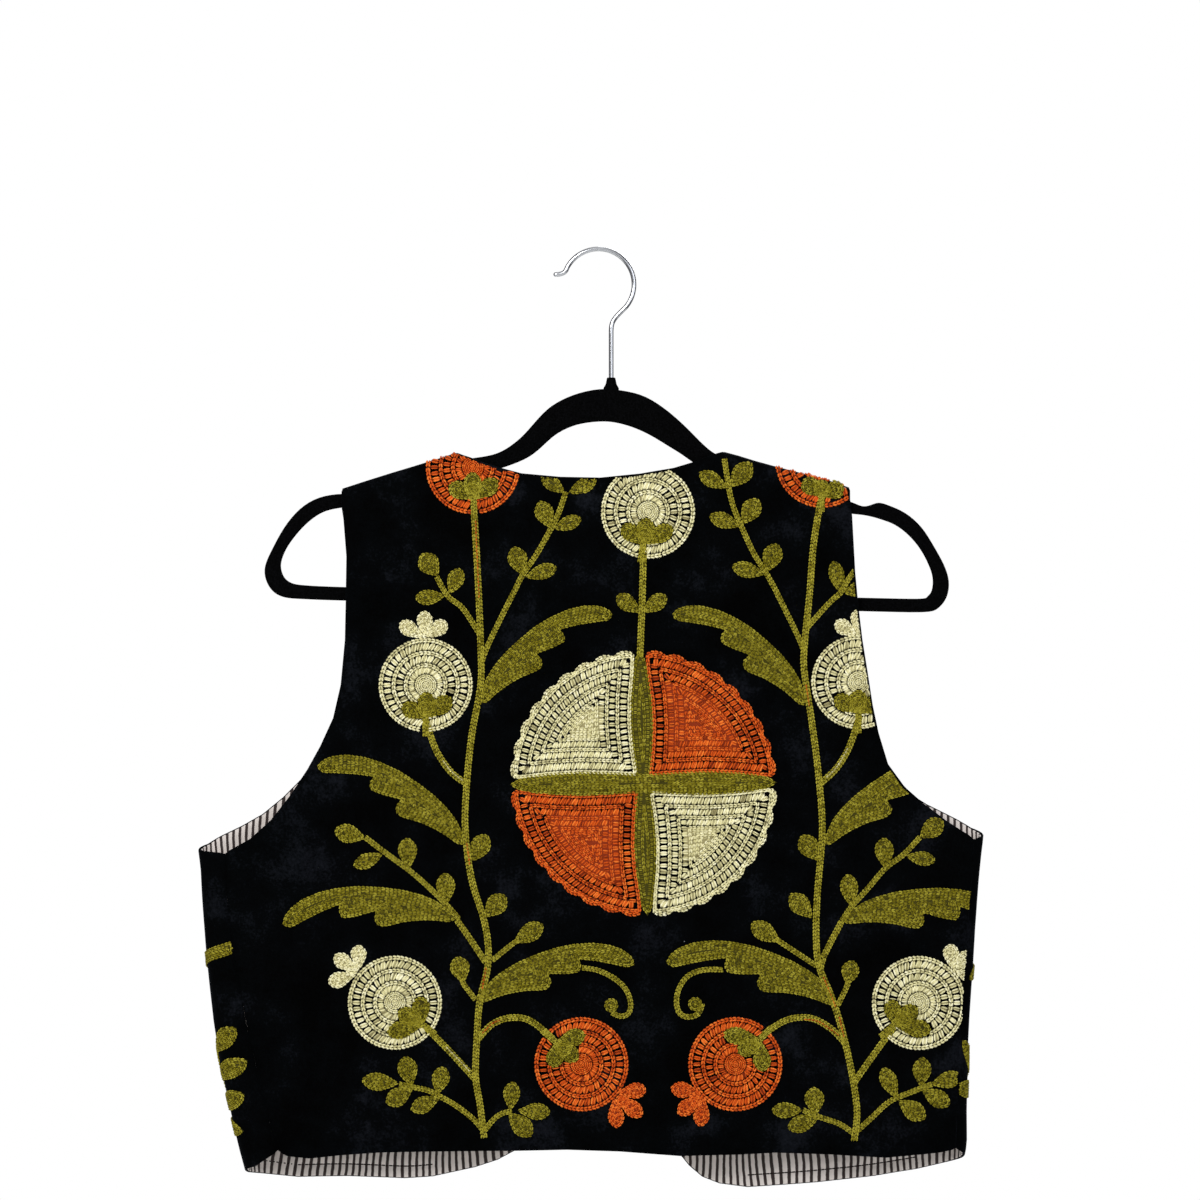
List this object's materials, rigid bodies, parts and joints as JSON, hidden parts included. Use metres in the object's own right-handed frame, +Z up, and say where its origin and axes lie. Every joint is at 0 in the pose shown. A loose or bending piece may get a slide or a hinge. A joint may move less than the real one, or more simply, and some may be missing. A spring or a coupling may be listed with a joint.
{
  "type": "vest on a hanger",
  "caption": "Sleeveless embroidered velvet waistcoat with a striped cotton lining, hung flat on a slim flocked hanger with a wire hook.",
  "frame": {"origin": "inside of the hook's crown, where a rail carries it", "axes": "+Z up, -Y the side of the garment's back, +X towards the wearer's right"},
  "size_m": [0.5102, 0.0362, 0.6113],
  "materials": {
    "velvet": "black cotton velvet",
    "striped_cotton": "woven cotton with dark pinstripes",
    "flock": "black flocking on plastic",
    "chrome": "polished plate",
    "olive_thread": "mercerised cotton thread, olive green",
    "cream_thread": "mercerised cotton thread, cream",
    "orange_thread": "mercerised cotton thread, burnt orange"
  },
  "bodies": {
    "root": {"back": "velvet", "front_left": "velvet", "front_right": "velvet", "back_lining": "striped_cotton", "front_left_lining": "striped_cotton", "front_right_lining": "striped_cotton", "hanger": "flock", "hook": "chrome"}
  },
  "joints": []
}
